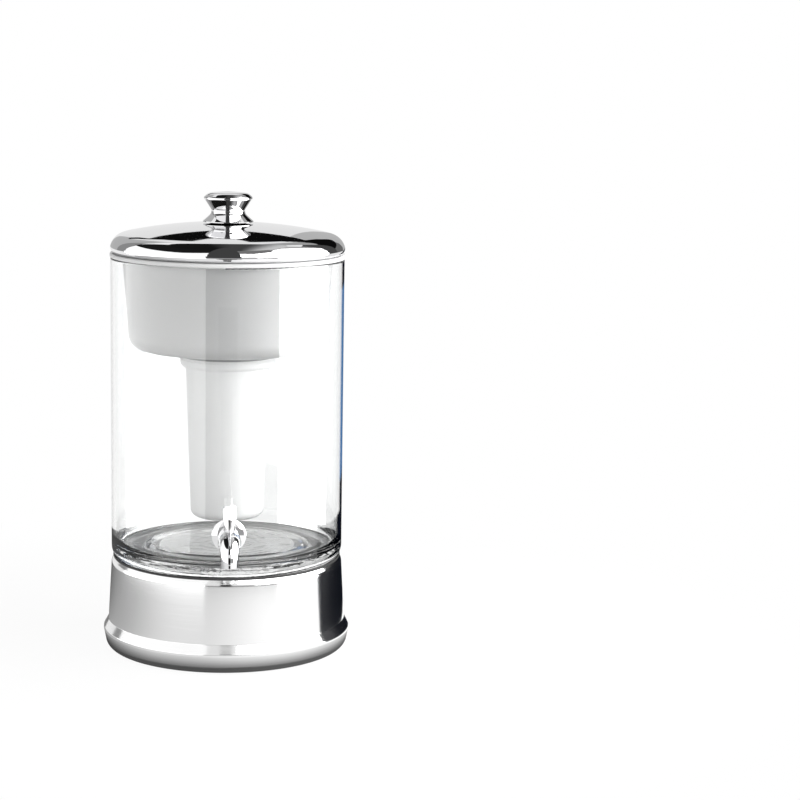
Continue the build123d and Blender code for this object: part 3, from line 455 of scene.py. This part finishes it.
# pale floor and air, tall bright cards round the object and a few dark boards that it mirrors
black = (0.004, 0.005, 0.009)
navy = (0.004, 0.005, 0.012)
blue = (0.08, 0.20, 0.42)
ink = (0.01, 0.01, 0.01)
studio = {
    "cardRadius": 1.6,  # distance of the cards from the jar's axis
    "cardStep": 4,  # degrees between a card's folds
    "cards": {  # strength, then azimuth, lowest and highest edge in metres at each upright of the card
        "leftBoxLow": (2.4, ((-118, -0.4, 0.24), (-21.7, -0.4, 0.24))),
        "leftBox": (1.3, ((-118, 0.24, 1.40), (-75, 0.24, 1.45), (-50, 0.24, 1.5), (-30, 0.24, 1.75),
                          (-21.7, 0.24, 1.85))),
        "leftDark": (0.012, ((-125, 1.4, 3.0), (-75, 1.45, 3.0), (-50, 1.5, 3.0), (-30, 1.75, 3.0),
                             (-21.7, 1.85, 3.0))),
        "frontLow": (0.4, ((-21.7, -0.4, 0.3), (49.5, -0.4, 0.3))),
        "front": (0.95, ((-21.7, 0.3, 3.0), (10.9, 0.3, 3.0), (11, 0.3, 0.8), (26, 0.3, 0.8))),
        "rightBoxLow": (7.0, ((49.5, -0.4, 0.24), (112, -0.4, 0.24))),
        "rightBoxMiddle": (6.4, ((26, 0.3, 0.8), (112, 0.3, 0.8))),
        "rightBox": (4.4, ((11, 0.8, 1.65), (26, 0.8, 1.55), (49.5, 0.8, 1.9), (60, 0.8, 2.5),
                           (80, 0.8, 2.7), (95, 0.8, 2.0), (112, 0.8, 1.3))),
        "rightGrey": (0.2, ((11, 1.65, 3.0), (26, 1.55, 3.0), (49.5, 1.9, 3.0), (60, 2.5, 3.0))),
        "rightPale": (0.5, ((60, 2.5, 3.0), (80, 2.7, 3.0), (95, 2.0, 3.0), (112, 1.3, 3.0))),
        "rightBackLow": (0.95, ((112, -0.4, 0.25), (172, -0.4, 0.25))),
        "rightFlag": (0.07, ((112, 0.25, 2.2), (130, 0.25, 2.2))),
        "backRight": (0.15, ((130, 0.25, 0.75), (150, 0.25, 0.9))),
        "backMiddle": (0.5, ((150, 0.25, 0.9), (172, 0.25, 1.0))),
        "backLow": (0.9, ((172, -0.4, 0.28), (207, -0.4, 0.28))),
        "backCard": (0.85, ((172, 0.28, 1.0), (180, 0.28, 0.95), (195, 0.28, 1.03))),
        "backStrip": (0.004, ((130, 0.75, 1.6), (150, 0.9, 1.8), (165, 1.0, 1.6), (172, 1.0, 1.35),
                              (180, 0.95, 1.22), (195, 1.03, 1.32), (204, 1.15, 1.2))),
        "backTop": (0.9, ((160, 1.67, 2.5), (172, 1.35, 2.7), (180, 1.22, 2.6), (195, 1.32, 2.5),
                          (204, 1.2, 2.4))),
        "rightBack": (0.4, ((130, 1.6, 3.0), (150, 1.8, 3.0), (160, 1.67, 3.0))),
        "leftBack": (0.5, ((195, 0.28, 1.03), (204, 0.28, 1.15), (204.1, 0.28, 2.4), (225, 0.28, 2.2))),
        "leftCorner": (0.3, ((225, 0.28, 2.2), (242, 0.28, 1.3))),
    },
    "ceilingHeight": 3.0,
    "ceilingRadius": 1.62,
    "ceilingStep": 10,  # degrees between its corners
    "ceilingLeft": (-0.4, 0.1, 0.01, 0.06),  # where its light starts and stops rising, and from what to what
    "ceilingRight": (0.35, 1.3, 0.0, 0.6),
    "boards": {  # dark upright boards: color, lowest and highest edge, and the two ends
        "lowFront": (black, 0.0, 0.10, (0.193, -0.054), (0.49, 0.03)),
        "lowSide": (black, 0.0, 0.11, (0.193, -0.054), (0.167, 0.095)),
        "farLow": (navy, 0.0, 0.14, (0.167, 0.095), (0.148, 0.209)),
        "farMiddle": (blue, 0.14, 0.34, (0.167, 0.095), (0.148, 0.209)),
        "farTop": (navy, 0.34, 0.38, (0.167, 0.095), (0.148, 0.209)),
        "column": ((0.06, 0.06, 0.06), 0.37, 3.0, (-0.1, -0.3), (0.05, -0.3)),
        "tapFlag": ((0.2, 0.2, 0.2), 0.24, 0.33, (-0.036, -0.25), (0.028, -0.25)),
        "tapFlagEdge": ((0.5, 0.5, 0.5), 0.235, 0.335, (-0.046, -0.252), (0.046, -0.252)),
        "tapLine": (ink, 0.09, 0.142, (-0.026, -0.25), (0.012, -0.25)),
        "tapLineHigh": (ink, 0.166, 0.24, (-0.026, -0.25), (0.012, -0.25)),
    },
    "airSeen": 1.0,
    "airThroughGlass": 1.2,
    "airLight": 0.75,
    "floorHalf": 14.0,
    "floorWhite": 0.9,
    "floorOwnNear": 0.93,  # share of the floor's own white that shows beside the stand
    "floorOwnFar": 1.0,
    "floorNearRadius": 0.3,
    "floorFarRadius": 0.6,
    "mirrorFloorRadius": 0.68,  # metal mirrors the floor only this far out, from a little in front of the jar
    "mirrorFloorEdge": 0.01,
    "mirrorFloorCentre": -0.12,
    "mirrorShade": (0.1, 0.121, 0.15),  # painted contact shadow on the floor as metal mirrors it: its share under the stand, and where it starts and stops rising
    "mirrorFloor": (  # how bright metal mirrors it round the jar: azimuths of each rise, and from what to what
        (-172, -95, 0.05, 0.5), (-105, -35, 0.0, 0.43), (-25, 40, 0.0, 0.4), (40, 150, 0.0, -0.13),
        (150, 180, 0.0, -0.9)),
}


class Sight:  # how the studio tells rays apart
    def __init__(self, shader):
        path = shader.node("ShaderNodeLightPath", out="Is Camera Ray")
        diffuse, glossy = path.beside("Diffuse Depth"), path.beside("Glossy Depth")
        bounced = self.clamped(diffuse + glossy)
        scattered = self.clamped(diffuse + 0)  # the sum is only there to be clamped
        self.camera = path
        self.throughGlass = path.beside("Is Transmission Ray") * (1 - bounced)  # straight through clear glass
        self.mirrored = path.beside("Is Glossy Ray") * (1 - self.throughGlass) * (1 - scattered)

    def clamped(self, value):
        value.socket.node.use_clamp = True
        return value


def glow(name, strength, color=(1, 1, 1), rises=()):
    shader = Shader(name)
    if rises:  # light that grows from the left to the right
        across = shader.split(shader.place())[0]
        strength = sum(shader.band(across, *rise) for rise in rises)
    light = shader.node("ShaderNodeEmission", {}, {"Color": (*color, 1.0), "Strength": strength})
    clear = shader.node("ShaderNodeBsdfTransparent")
    mixed = shader.node("ShaderNodeMixShader", {}, {0: Sight(shader).throughGlass, 1: light, 2: clear})
    shader.plug(shader.output.inputs["Surface"], mixed)
    return shader.material


def stageMesh(name, points, faces, material):
    mesh = bpy.data.meshes.new(name)
    mesh.from_pydata([tuple(point) for point in points], [], faces)
    mesh.materials.append(material)
    made = bpy.data.objects.new(name, mesh)
    bpy.context.scene.collection.objects.link(made)
    return made


def studioCard(name, strength, uprights):
    points = []
    for (start, low, high), (end, nextLow, nextHigh) in zip(uprights, uprights[1:]):
        steps = max(1, round((end - start) / studio["cardStep"]))
        for step in range(steps + 1):
            share = step / steps
            azimuth = start + (end - start) * share
            points += [arc(azimuth, studio["cardRadius"], low + (nextLow - low) * share),
                       arc(azimuth, studio["cardRadius"], high + (nextHigh - high) * share)]
    faces = [(i, i + 1, i + 3, i + 2) for i in range(0, len(points) - 2, 2)]
    card = stageMesh(name, points, faces, glow(name, strength))
    card.visible_camera = False


for name, (strength, uprights) in studio["cards"].items():
    studioCard(name, strength, uprights)
rim = [arc(azimuth, studio["ceilingRadius"], studio["ceilingHeight"])
       for azimuth in range(0, 360, studio["ceilingStep"])]
ceilingLight = glow("ceiling", 1.0, rises=(studio["ceilingLeft"], studio["ceilingRight"]))
ceiling = stageMesh("ceiling", rim, [tuple(range(len(rim)))], ceilingLight)
ceiling.visible_camera = False
for name, (color, low, high, *ends) in studio["boards"].items():
    corners = [(x, y, z) for x, y in ends for z in (low, high)]
    board = stageMesh(name, corners, [(0, 1, 3, 2)], glow(name, 1.0, color))
    board.visible_camera = False
    board.visible_diffuse = name == "column"  # the rest only show in the metal and the glass
    board.visible_shadow = name == "column"


def paleFloor():
    shader = Shader("paleFloor")
    x, y = shader.split(shader.place())[:2]
    radius = (x * x + y * y) ** 0.5
    sight = Sight(shader)
    turn = shader.node("ShaderNodeMath", {"operation": "ARCTAN2"}, {0: x, 1: 0 - y})
    azimuth = turn * math.degrees(1)
    mirrored = sum(shader.band(azimuth, *rise) for rise in studio["mirrorFloor"])
    # painted contact shadow: the floor that metal mirrors darkens near the foot
    lowest, riseStart, riseEnd = studio["mirrorShade"]
    mirroredLevel = mirrored * shader.band(radius, riseStart, riseEnd, lowest, 1.0)
    strength = 1 + sight.mirrored * (mirroredLevel - 1)
    own = shader.node("ShaderNodeEmission", {}, {"Color": grey(1.0), "Strength": strength})
    paint = shader.node("ShaderNodeBsdfDiffuse", {}, {"Color": grey(studio["floorWhite"])})
    near = shader.band(radius, studio["floorNearRadius"], studio["floorFarRadius"],
                       studio["floorOwnNear"], studio["floorOwnFar"])
    share = (sight.camera + sight.throughGlass) * near + sight.mirrored
    mixed = shader.node("ShaderNodeMixShader", {}, {0: share, 1: paint, 2: own})
    back = y - studio["mirrorFloorCentre"]
    reach = (x * x + back * back) ** 0.5
    beyond = shader.band(reach, studio["mirrorFloorRadius"] - studio["mirrorFloorEdge"],
                         studio["mirrorFloorRadius"])
    clear = shader.node("ShaderNodeBsdfTransparent")
    cut = shader.node("ShaderNodeMixShader", {}, {0: sight.mirrored * beyond, 1: mixed, 2: clear})
    shader.plug(shader.output.inputs["Surface"], cut)
    shader.material.cycles.emission_sampling = "NONE"
    return shader.material


half = studio["floorHalf"]
stageMesh("floor", [(-half, -half, 0), (half, -half, 0), (half, half, 0), (-half, half, 0)],
          [(0, 1, 2, 3)], paleFloor())

world = bpy.data.worlds.new("studioAir")
bpy.context.scene.world = world
world.use_nodes = True
airTree = world.node_tree
airTree.nodes.clear()


class AirShader(Shader):  # the same helpers, on the world's own nodes
    def __init__(self):
        self.tree = airTree
        self.output = airTree.nodes.new("ShaderNodeOutputWorld")


air = AirShader()
airSight = Sight(air)
seen = studio["airSeen"] - studio["airLight"]
through = studio["airThroughGlass"] - studio["airLight"]
strength = studio["airLight"] + (airSight.camera + airSight.mirrored) * seen + airSight.throughGlass * through
sky = air.node("ShaderNodeBackground", {}, {"Color": grey(1.0), "Strength": strength})
air.plug(air.output.inputs["Surface"], sky)
print("studio ready")

camera = {"azimuth": -0.9, "distance": 2.084, "height": 0.577, "yaw": 5.523, "pitch": 9.06, "roll": 0.94,
          "lens": 97.2, "sensor": 36.0, "farthest": 60.0}
lensData = bpy.data.cameras.new("camera")
lensData.lens = camera["lens"]
lensData.sensor_width = camera["sensor"]
lensData.clip_end = camera["farthest"]
eye = bpy.data.objects.new("camera", lensData)
bpy.context.scene.collection.objects.link(eye)
yaw, pitch, roll = (math.radians(camera[key]) for key in ("yaw", "pitch", "roll"))
ahead = Vector((math.sin(yaw) * math.cos(pitch), math.cos(yaw) * math.cos(pitch), -math.sin(pitch)))
level = Vector((math.cos(yaw), -math.sin(yaw), 0.0))
upright = level.cross(ahead)
right = math.cos(roll) * level + math.sin(roll) * upright
top = math.cos(roll) * upright - math.sin(roll) * level
turned = Matrix((right, top, -ahead)).transposed()
stood = arc(camera["azimuth"], camera["distance"], camera["height"])
eye.matrix_world = Matrix.Translation(stood) @ turned.to_4x4()
bpy.context.scene.camera = eye
bpy.context.scene.view_settings.view_transform = "Standard"
print("camera ready")
